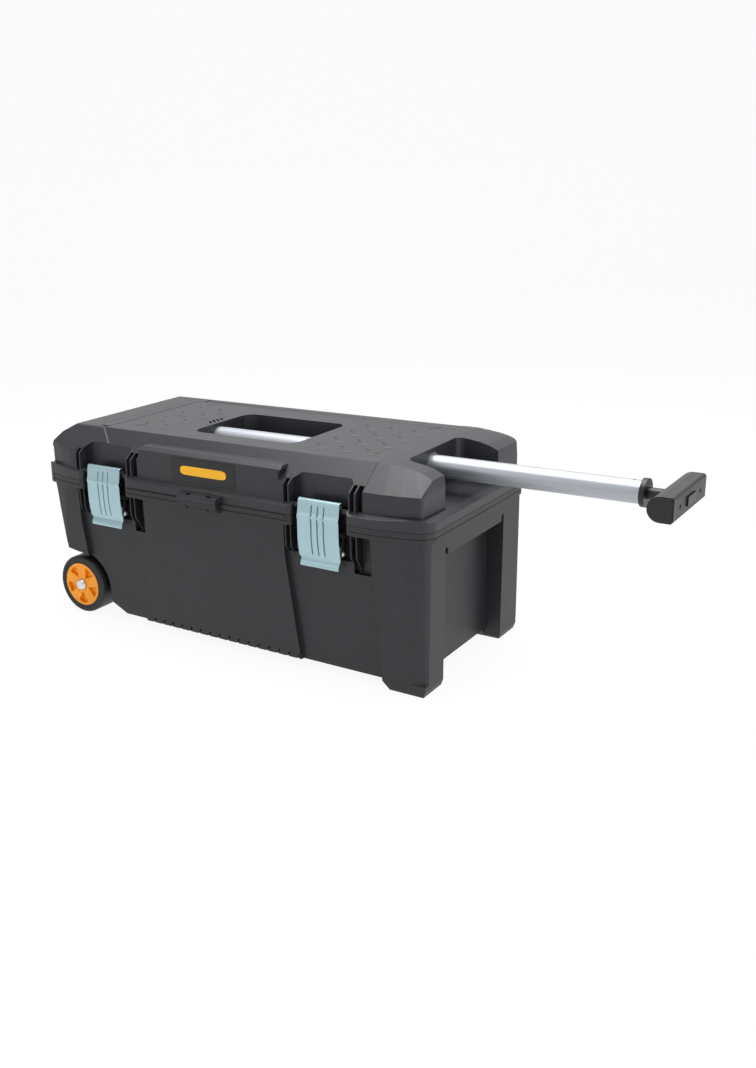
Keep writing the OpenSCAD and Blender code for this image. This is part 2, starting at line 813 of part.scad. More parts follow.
module slot_cut(x, y) {
    translate([x, y, under_deck_z - 1]) rotate([0, 0, 60]) translate([-10, -2.5, 0]) cube([20, 5,
        deck_t + 3]);
}

slot_places = [[-216, -68], [-216, 122], [226, -68], [226, 122]];
vent_places = [for (i = [0 : 3]) [-123, -4 + 10 * i]];
module deck_panel() {
    color("#303136") difference() {
        union() {
            block([deck_x0 + seam, -fold_y + seam / 2, under_deck_z],
                [deck_x1 - seam / 2, wall_y - 3 - seam, deck_z]);
            for (p = liner_screw_places) bar_z(post_r, liner_top, under_deck_z + 1, p[0], p[1]);
        }
        for (p = liner_screw_places) bar_z(screw_r, liner_top - 1, liner_top + 14, p[0], p[1]);
        for (p = deck_screw_places) bar_z(screw_r, under_deck_z - 1, under_deck_z + 2.5, p[0], p[1]);
        well_prism(0, under_deck_z - 1, deck_z + 1);
        for (p = slot_places) slot_cut(p[0], p[1]);
        for (p = vent_places) translate([p[0], p[1], under_deck_z - 1]) rotate([0, 0, -40])
            translate([-8, -2, 0]) cube([16, 4, deck_t + 3]);
    }
}

// Screws go up through the ledges into the deck panel
ledge_t = 4;
deck_screw_places = [for (x = [deck_x0 + 40, -20, deck_x1 - 60], y = [-fold_y + 3.2, wall_y - 8]) [x, y]];
module deck_screws() {
    color("#8d9094") for (p = deck_screw_places) {
        bar_z(screw_r, under_deck_z - ledge_t, under_deck_z + 2.5, p[0], p[1]);
        bar_z(screw_head_r - 0.8, under_deck_z - ledge_t - screw_head_h, under_deck_z - ledge_t, p[0], p[1]);
    }
}

// End cap with the recess for the handle

// A convex solid around points
module hull_points(points) {
    hull() polyhedron(points, [for (i = [0 : len(points) - 3]) [i, i + 1, i + 2]]);
}

// How much further the rear half of the end cap reaches than its front half
cap_skew = 9;
// The crown of the end cap: distance from the deck and drop below it
cap_crown = [[seam / 2, 0], [26, 0], [46, 2], [64, 4.5], [78, 7.5], [87, 11], [cap_right - deck_x1, 15]];
module cap_body(t) {
    x0 = t > 0 ? deck_x1 - 1 : deck_x1 + seam / 2;
    z0 = t > 0 ? ledge_top - 1 : ledge_top;
    x1 = cap_right - cap_skew - t;
    front = [for (x = [x0, 290, 315, x1 - 2]) [x, -wall_y + bow_y(x) + t]];
    ends = concat(front, [[x1, -wall_y + bow + 2 + t], [cap_right - t, wall_y - 8 - t],
        [cap_right - 7 - t, wall_y + 2 - t], [x0, wall_y + 2 - t]]);
    intersection() {
        hull_points(concat(
            [for (c = cap_crown) [min(max(x0, deck_x1 + c[0] * 0.9), x1), -fold_y + t / 2,
                deck_z - c[1] - t]],
            [for (c = cap_crown) [min(max(x0, deck_x1 + c[0]), cap_right - t), wall_y - 12 - t,
                deck_z + 2 - c[1] - t]],
            [for (c = cap_crown) [min(max(x0, deck_x1 + c[0]), cap_right - 5 - t), wall_y - t,
                deck_z + 1 - c[1] - t]],
            [for (p = ends) [p[0], p[1], z0]],
            [for (p = ends) [p[0], p[1], fold_z + 1 - t / 2]]));
        block([x0, -hw, z0], [cap_right - t, hw, deck_z + 3]);
    }
}

// The recess, round in its inner corners, grown by t
module cap_recess(t) {
    r = 14;
    w = recess_hw + t;
    block([recess_x + r, -w, ledge_top - 1], [hr + 1, w, deck_z + 3]);
    block([recess_x - t, -w + r, ledge_top - 1], [recess_x + r + 1, w - r, deck_z + 3]);
    for (s = [-1, 1]) bar_z(r + t, ledge_top - 1, deck_z + 3, recess_x + r, s * (recess_hw - r));
}

// Screws go up through the lid's ledge plate into bosses inside the end cap
boss_h = 14;
boss_y = wall_y - wall - post_r + 1;
end_cap_screw_places = [for (x = [deck_x1 + 20, deck_x1 + 62], s = [-1, 1])
    [x, s > 0 ? boss_y + 2 : bow_y(x) - boss_y]];
module end_cap() {
    color("#2a2b2f") difference() {
        union() {
            difference() {
                cap_body(0);
                difference() {
                    cap_body(wall);
                    cap_recess(wall);
                }
            }
            for (p = end_cap_screw_places) bar_z(post_r, ledge_top, ledge_top + boss_h, p[0], p[1]);
        }
        for (p = end_cap_screw_places) bar_z(screw_r, ledge_top - 1, ledge_top + boss_h - 2, p[0], p[1]);
        cap_recess(0);
        block([deck_x1 - 1, -wall_y + wall + 4, ledge_top - 1], [deck_x1 + 3, wall_y - wall - 2, fold_z - 2]);
        bar_x(carry_od / 2, deck_x1 - 10, recess_x + 10, 0, tube_z);
    }
}

module end_cap_screws() {
    z = ledge_z - 4;
    color("#8d9094") for (p = end_cap_screw_places) {
        bar_z(screw_r, z, ledge_top + boss_h - 2, p[0], p[1]);
        bar_z(screw_r + 0.8, z - screw_head_h, z, p[0], p[1]);
    }
}

// Blank badge plate in a shallow recess
plate_x0 = -83;
plate_x1 = 39;
plate_z0 = ledge_top + 4;
plate_z1 = fold_z + 13;
module badge_recess() {
    block([plate_x0, -wall_y - 5, plate_z0], [plate_x1, -wall_y + 1.5, plate_z1]);
}

module badge_plate() {
    g = 0.3;
    color("#141416") block([plate_x0 + g, -wall_y - 0.2, plate_z0 + g],
        [plate_x1 - g, -wall_y + 1.5, plate_z1 - g]);
}

module carry_tube() {
    color("#c9ccd2") difference() {
        bar_x(carry_od / 2, carry_x0, carry_x1, 0, tube_z);
        bar_x(carry_id / 2, carry_x0 - 1, carry_x1 + 1, 0, tube_z);
        for (x = [lock_x, lock_x - travel]) bar_z(lock_r + 0.3, tube_z - carry_od, tube_z, x, 0);
    }
}

module tube_end_plug() {
    color("#1c1c1e") bar_x(carry_id / 2, carry_x0, carry_x0 + 8, 0, tube_z);
}

module guide_bush() {
    color("#1c1c1e") difference() {
        union() {
            bar_x(carry_id / 2, carry_x1 - bush_l, carry_x1, 0, tube_z);
        }
        bar_x(slide_od / 2 + run_gap, carry_x1 - bush_l - 1, carry_x1 + 5, 0, tube_z);
    }
}

// Latches

// The plate's (y, z) section: a bowed strip with a ridge at the parting line and a flared lip
plate_top = ledge_z + 14;
plate_low = rivet_z - 14;
lip_low = rivet_z - 25;
plate_outer = [[-latch_y + 5, plate_top], [-latch_y + 1.5, crease_z + 3], [-latch_y - 2.5, crease_z],
    [-latch_y - 0.5, crease_z - 4], [-latch_y + 0.5, (crease_z + plate_low) / 2 + 8],
        [-latch_y + 6, plate_low]];
lip_outer = [[-latch_y + 6, plate_low], [-latch_y + 2, plate_low - 5], [-latch_y + 2, lip_low]];

// The outline of a strip of the plate's thickness behind its outer line
function strip(outer) = let (n = len(outer))
    concat(outer, [for (i = [n - 1 : -1 : 0]) [outer[i][0] + latch_t, outer[i][1]]]);
module latch_plate(x) {
    color("#c4dfe2") {
        yz(strip(plate_outer), x - latch_w / 2, x + latch_w / 2);
        yz(strip(lip_outer), x - latch_w / 2 + 4, x + latch_w / 2 - 2);
        // top lip, turned in towards the lid's lug
        block([x - latch_w / 2, -latch_y + 5, plate_top - latch_t],
            [x + latch_w / 2, -latch_y + 10, plate_top]);
        // ears for the rivet
        for (s = [-1, 1]) difference() {
            x0 = x + s * (latch_w / 2 - ear_t / 2) - ear_t / 2;
            yz([[-latch_y + 6, plate_low + 3], [-rivet_y + 4, rivet_z - 4], [-rivet_y + 4, rivet_z + 4],
                [-latch_y + 2, rivet_z + 14]], x0, x0 + ear_t);
            bar_x(rivet_r + run_gap, x0 - 1, x0 + ear_t + 1, -rivet_y, rivet_z);
        }
    }
}

// The toggle: two cheeks and a web, turning on the tub's lug
module latch_toggle(x) {
    r = 5;
    color("#1a1a1c") {
        for (s = [-1, 1]) difference() {
            x0 = x + s * (cheek_x + cheek_t / 2) - cheek_t / 2;
            union() {
                bar_x(r, x0, x0 + cheek_t, -pivot_y, pivot_z);
                bar_x(r, x0, x0 + cheek_t, -rivet_y, rivet_z);
                link_plate([-pivot_y, pivot_z], [-rivet_y, rivet_z], r, x0, x0 + cheek_t);
            }
            bar_x(2.5 + run_gap, x0 - 1, x0 + cheek_t + 1, -pivot_y, pivot_z);
            bar_x(rivet_r + run_gap, x0 - 1, x0 + cheek_t + 1, -rivet_y, rivet_z);
        }
        // web that joins the cheeks
        block([x - cheek_x - cheek_t / 2, -pivot_y - 1.5, rivet_z + 3.5],
            [x + cheek_x + cheek_t / 2, -pivot_y + 1.5, rivet_z + 8.5]);
    }
}

// A straight-sided link between two (y, z) points
module link_plate(a, b, r, x0, x1) {
    d = b - a;
    n = [-d[1], d[0]] / norm(d) * r;
    yz([a + n, b + n, b - n, a - n], x0, x1);
}

module latch_pivot_pin(x) {
    l = cheek_x + cheek_t;
    color("#9a9ea3") bar_x(2.5, x - l, x + l, -pivot_y, pivot_z);
}

module latch_rivet(x) {
    l = cheek_x + cheek_t;
    color("#e8e8e8") {
        bar_x(rivet_r, x - l, x + l, -rivet_y, rivet_z);
        for (s = [-1, 1]) translate([x + s * l, -rivet_y, rivet_z]) rotate([0, 90 * s,
            0]) cylinder(r1 = 4, r2 = 2.5, h = 1.8);
    }
}

// Handle

module sliding_tube() {
    color("#d4d7dc") difference() {
        bar_x(slide_od / 2, slide_x0, slide_x1, 0, tube_z);
        bar_x(slide_id / 2, slide_x0 - 1, slide_x1 + 1, 0, tube_z);
        bar_z(lock_r + 0.3, tube_z - slide_od, tube_z, lock_x, 0);
        bar_z(2, tube_z, tube_z + slide_od, slide_x1 - 12, 0);
    }
}

module slide_bush() {
    x1 = carry_x1 - bush_l - press_stop;
    color("#1c1c1e") difference() {
        bar_x(carry_id / 2 - run_gap, x1 - plug_l, x1, 0, tube_z);
        bar_x(slide_od / 2, x1 - plug_l - 1, x1 + 1, 0, tube_z);
    }
}

module tube_collar() {
    color("#1a1a1c") difference() {
        union() {
            bar_x(slide_id / 2, collar_x - 22, collar_x, 0, tube_z);
            bar_x(carry_od / 2 + 0.5, collar_x, collar_x + 7, 0, tube_z);
        }
        bar_x(rod_r + 1, collar_x - 30, collar_x + 20, 0, tube_z);
        bar_z(2, tube_z + 6, tube_z + 30, slide_x1 - 12, 0);
    }
}

module tube_rivet() {
    color("#3a3a3c") bar_z(2, tube_z + 7, tube_z + slide_od / 2 + 0.3, slide_x1 - 12, 0);
}

module handle_neck() {
    color("#1a1a1c") difference() {
        bar_x(8, collar_x + 7, grip_x0 + 2, 0, tube_z);
        bar_x(rod_r + 1, collar_x, grip_x0 + 10, 0, tube_z);
    }
}

// The grip's (x, z) section inset by t: round towards the box, flat outside
function grip_section(t) = let (r = grip_h / 2 - t, cx = grip_x0 + grip_h / 2)
    concat([[grip_x1 - 3 - t * 0.5, tube_z - r], [grip_x1 - t, tube_z - r + 3], [grip_x1 - t, tube_z + r - 3],
        [grip_x1 - 3 - t * 0.5, tube_z + r]],
        [for (a = [90 : 10 : 270]) [cx + r * cos(a), tube_z + r * sin(a)]]);

grip_yh = grip_l / 2 - grip_cap_t;
module grip_solid(t) {
    xz(grip_section(t), -grip_yh, grip_yh);
}

module grip_shell() {
    color("#3b3c40") difference() {
        grip_solid(0);
        difference() {
            xz(grip_section(grip_wall), -grip_yh - 1, grip_yh + 1);
            for (y = grip_screw_ys) bar_x(4.5, grip_x0, grip_split, y, tube_z);
        }
        block([grip_split, -cutter, 0], [cutter * 3, cutter, cutter]);
        bar_x(8, grip_x0 - 5, grip_x0 + 2, 0, tube_z);
        bar_x(rod_r + 1, grip_x0 - 5, grip_x0 + 10, 0, tube_z);
        for (y = grip_screw_ys) bar_x(1.6, grip_x0 + 6, grip_split + 1, y, tube_z);
    }
}

grip_screw_ys = [-44, 44];
module grip_cover() {
    color("#3b3c40") difference() {
        grip_solid(0);
        difference() {
            xz(grip_section(grip_wall), -grip_yh - 1, grip_yh + 1);
            for (y = grip_screw_ys) bar_x(4.5, grip_split, grip_x1 - 1, y, tube_z);
        }
        block([-cutter, -cutter, 0], [grip_split, cutter, cutter]);
        block([grip_x1 - 10, -button_w / 2 - free_gap, tube_z - button_h / 2 - free_gap],
            [grip_x1 + 5, button_w / 2 + free_gap, tube_z + button_h / 2 + free_gap]);
        for (y = grip_screw_ys) {
            bar_x(1.8, grip_split - 1, grip_x1 + 1, y, tube_z);
            bar_x(3.2, grip_x1 - 5, grip_x1 + 1, y, tube_z);
        }
    }
}

module grip_screws() {
    color("#55585c") for (y = grip_screw_ys) {
        bar_x(1.6, grip_x0 + 8, grip_x1 - 5, y, tube_z);
        bar_x(3, grip_x1 - 5, grip_x1 - 3, y, tube_z);
    }
}

module grip_cap(side) {
    y0 = grip_yh;
    color("#19191b") scale([1, side, 1]) {
        xz(grip_section(0), y0, y0 + grip_cap_t - 2);
        xz(grip_section(1.5), y0 + grip_cap_t - 2.01, y0 + grip_cap_t);
        difference() {
            xz(grip_section(grip_wall), y0 - 5, y0 + 0.1);
            xz(grip_section(grip_wall + 2), y0 - 6, y0);
        }
    }
}

module release_button() {
    color("#232326") {
        block([grip_x1 - 8, -button_w / 2, tube_z - button_h / 2],
            [grip_x1 + button_proud, button_w / 2, tube_z + button_h / 2]);
        block([grip_x1 - 10, -button_w / 2 - 3, tube_z - button_h / 2 - 2], 
            [grip_x1 - grip_wall - press_stop, button_w / 2 + 3, tube_z + button_h / 2 + 2]);
    }
}

module release_rod() {
    color("#9a9ea3") bar_x(rod_r, lock_x + 14, grip_x1 - 10, 0, tube_z);
}

module lock_carrier() {
    color("#1c1c1e") difference() {
        bar_x(slide_id / 2, lock_x - 9, lock_x + 9, 0, tube_z);
        bar_z(lock_r + run_gap, tube_z - 30, tube_z + 30, lock_x, 0);
        bar_x(rod_r + 1, lock_x, lock_x + 20, 0, tube_z);
    }
}

module lock_pin() {
    color("#a9adb2") bar_z(lock_r, tube_z - slide_od / 2 + 0.2, tube_z + 2, lock_x, 0);
}

// The button's return spring, drawn at its compressed length
module button_spring() {
    turns = 5;
    x0 = grip_x0 + grip_wall + 1.7;
    color("#b0b4b8") for (i = [0 : turns - 1]) translate([x0 + 0.8 + i * 1.6, 0, tube_z]) rotate([0, 90, 0])
        rotate_extrude() translate([5.5, 0]) circle(0.8, $fn = 16);
}

tub();
rim_seal();
axle();
axle_caps();
axle_washers();
hinge_pins();
latch_pivot_pin(latch_x_left);  // left_latch_pivot_pin
latch_pivot_pin(latch_x_right);  // right_latch_pivot_pin
lid_shell();
lid_liner();
deck_panel();
end_cap();
badge_plate();
carry_tube();
tube_end_plug();
guide_bush();
liner_screws();
deck_screws();
end_cap_screws();
latch_toggle(latch_x_left);  // left_latch_toggle
latch_plate(latch_x_left);  // left_latch_plate
latch_rivet(latch_x_left);  // left_latch_rivet
latch_toggle(latch_x_right);  // right_latch_toggle
latch_plate(latch_x_right);  // right_latch_plate
latch_rivet(latch_x_right);  // right_latch_rivet
tyre(-1);  // front_tyre
hub(-1);  // front_hub
wheel_bush(-1);  // front_wheel_bush
tyre(1);  // rear_tyre
hub(1);  // rear_hub
wheel_bush(1);  // rear_wheel_bush
sliding_tube();
slide_bush();
tube_collar();
handle_neck();
grip_shell();
grip_cover();
grip_cap(-1);  // grip_cap_front
grip_cap(1);  // grip_cap_rear
grip_screws();
lock_carrier();
button_spring();
tube_rivet();
release_button();
release_rod();
lock_pin();
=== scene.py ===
"""Rolling tool box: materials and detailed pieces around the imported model.

Everything is in metres in the model's own frame: +X to the pull handle, -Y to the latches, +Z up.
"""
import json
import math

import bmesh
import bpy
import numpy as np
from mathutils import Matrix, Vector


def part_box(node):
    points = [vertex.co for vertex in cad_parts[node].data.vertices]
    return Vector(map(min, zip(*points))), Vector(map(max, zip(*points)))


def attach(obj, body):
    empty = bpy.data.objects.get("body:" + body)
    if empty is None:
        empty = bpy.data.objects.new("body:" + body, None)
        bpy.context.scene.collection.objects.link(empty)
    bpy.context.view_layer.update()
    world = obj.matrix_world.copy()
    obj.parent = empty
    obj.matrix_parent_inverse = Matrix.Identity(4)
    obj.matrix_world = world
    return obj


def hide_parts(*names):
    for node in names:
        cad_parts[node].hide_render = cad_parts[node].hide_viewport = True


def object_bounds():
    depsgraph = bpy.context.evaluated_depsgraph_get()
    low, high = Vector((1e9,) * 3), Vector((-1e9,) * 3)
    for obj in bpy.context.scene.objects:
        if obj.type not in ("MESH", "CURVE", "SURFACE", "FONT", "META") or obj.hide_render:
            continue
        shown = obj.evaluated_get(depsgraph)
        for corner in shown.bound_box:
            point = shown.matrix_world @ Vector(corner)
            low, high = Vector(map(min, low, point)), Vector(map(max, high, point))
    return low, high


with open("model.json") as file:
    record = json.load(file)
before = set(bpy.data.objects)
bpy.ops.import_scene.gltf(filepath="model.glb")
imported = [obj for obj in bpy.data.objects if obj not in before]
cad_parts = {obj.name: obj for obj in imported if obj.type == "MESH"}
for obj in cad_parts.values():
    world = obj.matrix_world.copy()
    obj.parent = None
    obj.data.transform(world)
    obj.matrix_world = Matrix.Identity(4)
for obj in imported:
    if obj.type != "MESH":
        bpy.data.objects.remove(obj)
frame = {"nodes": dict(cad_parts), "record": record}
cad_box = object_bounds()
MM = 0.001

# The view: where the camera stands, and how it is turned, in degrees
CAMERA_PLACE = (1.0325, -1.4316, 0.7025)
CAMERA_YAW, CAMERA_PITCH, CAMERA_ROLL = 35.48, 17.11, -1.83


# ---------------------------------------------------------------- meshes

def make_mesh(name, points, faces, smooth=True):
    """An object from arrays of points (n, 3) in metres and faces (m, 3 or 4)."""
    mesh = bpy.data.meshes.new(name)
    mesh.from_pydata(points.tolist(), [], faces.tolist())
    mesh.update()
    mesh.polygons.foreach_set("use_smooth", np.full(len(mesh.polygons), smooth))
    piece = bpy.data.objects.new(name, mesh)
    bpy.context.scene.collection.objects.link(piece)
    return piece


def grid_faces(rows, cols, wrap_rows=False, wrap_cols=False):
    """Quads of a rows x cols grid of points; a wrapped direction joins its last line to its first."""
    i = np.arange(rows if wrap_rows else rows - 1)
    j = np.arange(cols if wrap_cols else cols - 1)
    i, j = (a.ravel() for a in np.meshgrid(i, j, indexing="ij"))
    i2 = (i + 1) % rows
    j2 = (j + 1) % cols
    return np.stack([i * cols + j, i2 * cols + j, i2 * cols + j2, i * cols + j2], axis=1)


def outward(piece, merge=1e-6):
    """Merges doubles and turns every face outwards."""
    work = bmesh.new()
    work.from_mesh(piece.data)
    bmesh.ops.remove_doubles(work, verts=work.verts, dist=merge)
    bmesh.ops.recalc_face_normals(work, faces=work.faces)
    work.to_mesh(piece.data)
    work.free()
    return piece


def lathe(name, profile, centre, axis_sign=1, turns=96):
    """A turned solid about the Y axis. Point (r, h) of the closed profile goes to
    centre + r (cos a, 0, sin a) + axis_sign h Y, for a round the circle."""
    profile = np.array(profile, float)
    angle = np.linspace(0, 2 * math.pi, turns, endpoint=False)[:, None]
    r, h = profile[:, 0], profile[:, 1]
    points = np.stack([
        centre[0] + r * np.cos(angle),
        np.broadcast_to(centre[1] + axis_sign * h, (turns, len(h))),
        centre[2] + r * np.sin(angle)], axis=-1)
    piece = make_mesh(name, points.reshape(-1, 3), grid_faces(turns, len(h), True, True))
    return outward(piece)


# ---------------------------------------------------------------- materials

def linear(hex_colour):
    """An sRGB hex colour as linear RGBA."""
    c = np.array([int(hex_colour[i:i + 2], 16) for i in (1, 3, 5)]) / 255
    c = np.where(c <= 0.04045, c / 12.92, ((c + 0.055) / 1.055) ** 2.4)
    return (*c.tolist(), 1)


def add_node(tree, kind, settings=None, **inputs):
    """Adds a shader node. Settings are its properties; an input is a value, or a socket to link from.
    An input is named as in Blender, or i and its number where names repeat."""
    node = tree.nodes.new(kind)
    for key, value in (settings or {}).items():
        setattr(node, key, value)
    for key, value in inputs.items():
        by_number = key[0] == "i" and key[1:].isdigit()
        socket = node.inputs[int(key[1:]) if by_number else key.replace("_", " ")]
        if isinstance(value, bpy.types.NodeSocket):
            tree.links.new(value, socket)
        else:
            socket.default_value = value
    return node


def new_material(name, colour, roughness, metallic=0.0, **sockets):
    """A Principled material; returns it with its tree and shader."""
    material = bpy.data.materials.new(name)
    material.use_nodes = True
    tree = material.node_tree
    shader = tree.nodes["Principled BSDF"]
    shader.inputs["Base Color"].default_value = linear(colour)
    shader.inputs["Roughness"].default_value = roughness
    shader.inputs["Metallic"].default_value = metallic
    material.diffuse_color = linear(colour)
    for key, value in sockets.items():
        shader.inputs[key.replace("_", " ")].default_value = value
    return material, tree, shader


def grain_normal(tree, shader, grain_mm, depth_mm, edge_mm=0.0, strength=0.5):
    """A fine moulded grain: noise of the given size, over edges that look rounded by edge_mm."""
    place = add_node(tree, "ShaderNodeTexCoord")
    noise = add_node(tree, "ShaderNodeTexNoise", Vector=place.outputs["Object"], Scale=1 / (grain_mm * MM),
                     Detail=3.0, Roughness=0.6)
    bump = add_node(tree, "ShaderNodeBump", Height=noise.outputs["Fac"], Strength=strength,
                    Distance=depth_mm * MM)
    if edge_mm:
        edge = add_node(tree, "ShaderNodeBevel", {"samples": 6}, Radius=edge_mm * MM)
        tree.links.new(edge.outputs["Normal"], bump.inputs["Normal"])
    tree.links.new(bump.outputs["Normal"], shader.inputs["Normal"])
    return noise


def moulded_plastic(name, colour, roughness=0.5, grain_mm=1.1, depth_mm=0.12, edge_mm=1.2, tone=0.12):
    """Structural foam polypropylene from a spark-textured mould: a fine grain that spreads the
    highlights, slight cloudy differences in tone, and softly rounded edges."""
    material, tree, shader = new_material(name, colour, roughness, Specular_IOR_Level=0.5)
    grain_normal(tree, shader, grain_mm, depth_mm, edge_mm)
    place = add_node(tree, "ShaderNodeTexCoord")
    cloud = add_node(tree, "ShaderNodeTexNoise", Vector=place.outputs["Object"], Scale=1 / 0.035, Detail=4.0)
    base = np.array(linear(colour))
    ramp = add_node(tree, "ShaderNodeValToRGB", Fac=cloud.outputs["Fac"])
    low, high = ramp.color_ramp.elements
    low.position, high.position = 0.3, 0.7
    low.color = (*(base[:3] * (1 - tone)), 1)
    high.color = (*(base[:3] * (1 + tone)), 1)
    tree.links.new(ramp.outputs["Color"], shader.inputs["Base Color"])
    return material


def plain(name, colour, roughness, metallic=0.0, edge_mm=0.0, grain_mm=0.8, depth_mm=0.03, **sockets):
    """A material of one colour with a faint surface grain."""
    material, tree, shader = new_material(name, colour, roughness, metallic, **sockets)
    if edge_mm or depth_mm:
        grain_normal(tree, shader, grain_mm, depth_mm, edge_mm, 0.3)
    return material


def anodised_tube():
    """Satin anodised aluminium tube: a pale metal with fine draw lines along the tube."""
    material, tree, shader = new_material("satin_anodised_aluminium", "#aeb2b8", 0.42, 0.75)
    place = add_node(tree, "ShaderNodeTexCoord")
    lines = add_node(tree, "ShaderNodeMapping", Vector=place.outputs["Object"], Scale=(4.0, 900.0, 900.0))
    noise = add_node(tree, "ShaderNodeTexNoise", Vector=lines.outputs["Vector"], Scale=1.0, Detail=2.0)
    bump = add_node(tree, "ShaderNodeBump", Height=noise.outputs["Fac"], Strength=0.15, Distance=0.02 * MM)
    tree.links.new(bump.outputs["Normal"], shader.inputs["Normal"])
    return material


def zinc_plate():
    """Pressed steel with clear blue-white zinc plating: bright, pale cyan, with a soft brushed sheen."""
    material, tree, shader = new_material("blue_white_zinc_plate", "#a6c1c9", 0.34, 0.55)
    place = add_node(tree, "ShaderNodeTexCoord")
    lines = add_node(tree, "ShaderNodeMapping", Vector=place.outputs["Object"], Scale=(700.0, 700.0, 12.0))
    noise = add_node(tree, "ShaderNodeTexNoise", Vector=lines.outputs["Vector"], Scale=1.0, Detail=3.0)
    bump = add_node(tree, "ShaderNodeBump", Height=noise.outputs["Fac"], Strength=0.15, Distance=0.03 * MM)
    tree.links.new(bump.outputs["Normal"], shader.inputs["Normal"])
    return material


TUB = moulded_plastic("charcoal_polypropylene_tub", "#1f2024", 0.5)
LID = moulded_plastic("charcoal_polypropylene_lid", "#232429", 0.42)
DECK = moulded_plastic("charcoal_polypropylene_deck", "#25262b", 0.42, edge_mm=0.5)
LINER = moulded_plastic("smooth_charcoal_liner", "#222327", 0.45, depth_mm=0.05)
BLACK = plain("black_moulded_nylon", "#0f0f11", 0.38, edge_mm=0.6)
SEAL = plain("foam_rubber", "#101010", 0.85, depth_mm=0.1)
TYRE = plain("hard_black_tread", "#1a1a1c", 0.55, edge_mm=1.0, depth_mm=0.08)
HUB = plain("yellow_polypropylene", "#f69a00", 0.45, edge_mm=1.0, grain_mm=1.0, depth_mm=0.03)
NYLON = plain("natural_nylon", "#d8d6cf", 0.5)
STEEL = plain("zinc_plated_steel", "#9da0a4", 0.38, 0.9)
BRIGHT = plain("bright_plated_steel", "#d9dbde", 0.25, 0.85, edge_mm=0.4)
# The latch toggles get a near-black steel colour, so that they show dark.
DARK_STEEL = plain("near_black_toggle_steel", "#17181a", 0.45, 0.2, edge_mm=0.4)
BADGE = plain("satin_black_badge", "#0c0c0d", 0.35)
STRIPE = plain("yellow_badge_stripe", "#f4b400", 0.4)
GRIP = moulded_plastic("soft_touch_grip", "#2b2c2f", 0.5, 0.7, 0.06, 1.2, 0.05)
TUBE = anodised_tube()
ZINC = zinc_plate()

BY_SLOT = {
    "tub_plastic": TUB, "lid_plastic": LID, "deck_plastic": DECK, "liner_plastic": LINER,
    "black_plastic": BLACK, "seal": SEAL, "steel": STEEL, "bright_steel": BRIGHT, "latch_zinc": ZINC,
    "toggle_steel": DARK_STEEL, "badge": BADGE, "tube": TUBE, "tyre": TYRE, "hub_yellow": HUB,
    "nylon": NYLON, "grip": GRIP,
}


def finish_cad_nodes():
    """Gives every CAD node the material of its slot."""
    for row in frame["record"]["subparts"]:
        node = frame["nodes"][row["node"]]
        node.data.materials.clear()
        node.data.materials.append(BY_SLOT[row["material_slot"]])


def dress(piece, body, slot, replaces=None):
    """Gives a new piece its body and its slot's material and, if it stands for a CAD node, hides that node.
    """
    piece.data.materials.append(BY_SLOT[slot])
    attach(piece, body)
    if replaces:
        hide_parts(replaces)
    return piece


# ---------------------------------------------------------------- deck

SLOT_PLACES = ((-216, -68), (-216, 122), (226, -68), (226, 122))
SLOT_TURN = math.radians(60)
TREAD_PLAIN_LEFT = -0.232
WELL_X, WELL_Y = (-0.128, 0.106), (-0.088, 0.101)


def deck_tread():
    """Raised lozenges of the tread, all in one piece. Each is a low pillow: the height over an ellipse
    of half length a and half width b is h (1 - (u/a)^2 - (v/b)^2), kept above zero."""
    deck_low, deck_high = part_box("deck_panel")
    pitch_x, pitch_y = 42.6 * MM, 47.5 * MM
    half_l, half_w, height = 11.0 * MM, 2.4 * MM, 1.3 * MM
    rings, sides = 5, 20
    rho = np.linspace(0, 1, rings)[:, None]
    phi = np.linspace(0, 2 * math.pi, sides, endpoint=False)[None, :]
    u = half_l * rho * np.cos(phi)
    v = half_w * rho * np.sin(phi) * (1 - 0.35 * np.abs(np.cos(phi)))
    w = height * (1 - rho ** 2) * np.ones_like(phi)
    points, faces, count = [], [], 0
    for slant, shift in ((36, (0, 0)), (-36, (0.5, 0.5))):
        angle = math.radians(slant)
        for i in range(-8, 5):
            for j in range(-2, 4):
                cx = (100 * MM) + (i + shift[0]) * pitch_x
                cy = (-28 * MM) + (j - 1 + shift[1]) * pitch_y
                in_length = TREAD_PLAIN_LEFT < cx < deck_high.x - 12 * MM
                in_width = deck_low.y + 30 * MM < cy < deck_high.y - 25 * MM
                in_well = WELL_X[0] - 12 * MM < cx < WELL_X[1] and WELL_Y[0] < cy < WELL_Y[1]
                if not (in_length and in_width) or in_well:
                    continue
                x = cx + u * math.cos(angle) - v * math.sin(angle)
                y = cy + u * math.sin(angle) + v * math.cos(angle)
                points.append(np.stack([x, y, deck_high.z - 0.05 * MM + w], -1).reshape(-1, 3))
                faces.append(grid_faces(rings, sides, wrap_cols=True) + count)
                count += rings * sides
    piece = make_mesh("deck_tread", np.concatenate(points), np.concatenate(faces))
    outward(piece)
    return dress(piece, "lid", "deck_plastic")


